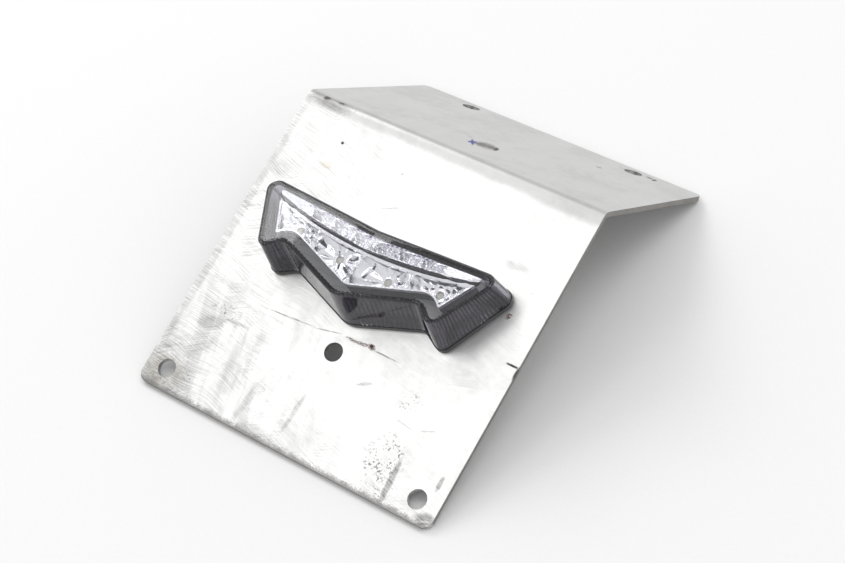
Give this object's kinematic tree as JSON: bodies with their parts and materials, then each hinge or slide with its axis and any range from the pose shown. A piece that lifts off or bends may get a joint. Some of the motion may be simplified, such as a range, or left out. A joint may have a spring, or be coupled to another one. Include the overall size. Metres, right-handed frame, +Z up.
{
  "type": "motorcycle tail tidy",
  "caption": "Number-plate bracket folded from one brushed stainless sheet, with a smoked LED tail lamp bolted across its panel and fixing holes in both leaves.",
  "frame": {"origin": "centre of the bounding box's bottom face, on the surface that both free edges rest on", "axes": "+Y from the number-plate panel's free edge to the tail flange's free edge, +Z up, X along the fold"},
  "size_m": [0.13, 0.183, 0.0512],
  "materials": {
    "stainless_sheet": "stainless sheet, sanded by hand in swirling strokes, with rust specks and scratches",
    "black_plastic": "moulded black plastic",
    "smoked_lens": "smoke-tinted polycarbonate, polished outside, fluted inside its walls",
    "chrome_plating": "vacuum-metallised plastic, mirror bright",
    "board": "glass-fibre board with white solder resist",
    "led_package": "white surface-mounted package with a clear window",
    "component_black": "moulded component body with tinned ends",
    "zinc_plate": "bright zinc-plated steel",
    "grommet_rubber": "soft black rubber"
  },
  "bodies": {
    "root": {"bracket": "stainless_sheet", "lamp_base": "black_plastic", "lamp_lens": "smoked_lens", "reflector": "chrome_plating", "circuit_board": "board", "tail_led_1": "led_package", "tail_led_2": "led_package", "tail_led_3": "led_package", "tail_led_4": "led_package", "tail_led_5": "led_package", "tail_led_6": "led_package", "brake_led_1": "led_package", "brake_led_2": "led_package", "brake_led_3": "led_package", "brake_led_4": "led_package", "plate_led_1": "led_package", "plate_led_2": "led_package", "plate_led_3": "led_package", "resistor_1": "component_black", "resistor_2": "component_black", "resistor_3": "component_black", "diode": "component_black", "board_screw_left": "zinc_plate", "board_screw_right": "zinc_plate", "stud_left": "zinc_plate", "stud_right": "zinc_plate", "washer_left": "zinc_plate", "washer_right": "zinc_plate", "spring_washer_left": "zinc_plate", "spring_washer_right": "zinc_plate", "nut_left": "zinc_plate", "nut_right": "zinc_plate", "cable_grommet": "grommet_rubber"}
  },
  "joints": []
}
